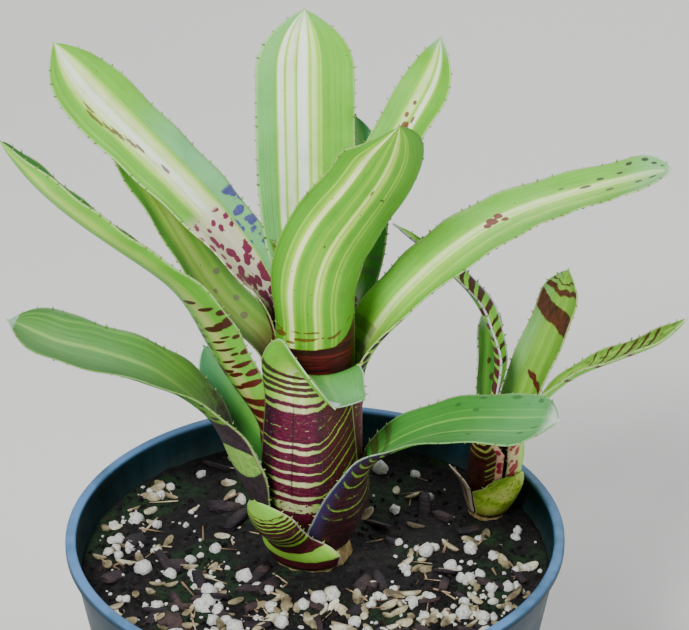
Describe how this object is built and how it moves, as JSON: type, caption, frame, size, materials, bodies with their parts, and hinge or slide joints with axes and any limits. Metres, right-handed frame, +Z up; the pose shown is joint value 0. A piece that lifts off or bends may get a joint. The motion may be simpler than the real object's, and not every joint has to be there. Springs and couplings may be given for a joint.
{
  "type": "potted bromeliad",
  "caption": "Vase-shaped bromeliad with toothed strap leaves, striped above and barred below, and a young offset beside it, in a round green plastic nursery pot of bark mix.",
  "frame": {"origin": "centre of the pot's underside, on the surface that the pot stands on", "axes": "+Z up along the pot's axis. +X to the right seen from the pictured side, which is -Y. The young offset is at +X, +Y."},
  "size_m": [0.2174, 0.165, 0.2905],
  "materials": {
    "pot_plastic": "slightly worn satin green-blue plastic",
    "mix": "rough dark bark and peat mix with white perlite and tan hulls; wood stands for it, being nearest in weight",
    "stem": "fibrous tan plant tissue; leather stands for it",
    "green_leaf": "satin leathery leaf, green with cream stripes; leather stands for leaf tissue",
    "banded_leaf": "satin leathery leaf, green with maroon bars; leather stands for leaf tissue",
    "dry_scale": "dry papery brown scale"
  },
  "bodies": {
    "root": {"pot": "pot_plastic", "potting_mix": "mix", "stem_and_stolon": "stem", "front_leaf": "banded_leaf", "rear_leaf": "green_leaf", "left_long_leaf": "green_leaf", "right_long_leaf": "green_leaf", "inner_front_leaf": "green_leaf", "left_rear_leaf": "green_leaf", "upper_left_leaf": "green_leaf", "upper_right_leaf": "green_leaf", "upright_leaf": "green_leaf", "heart_leaf": "green_leaf", "lower_left_leaf": "green_leaf", "lower_right_leaf": "banded_leaf", "lower_rear_leaf": "green_leaf", "base_leaf": "banded_leaf", "offset_front_leaf": "banded_leaf", "offset_rear_leaf": "green_leaf", "offset_left_leaf": "green_leaf", "offset_right_leaf": "green_leaf", "offset_upright_leaf": "green_leaf", "offset_scale_leaf": "green_leaf", "offset_dry_scale": "dry_scale"}
  },
  "joints": []
}
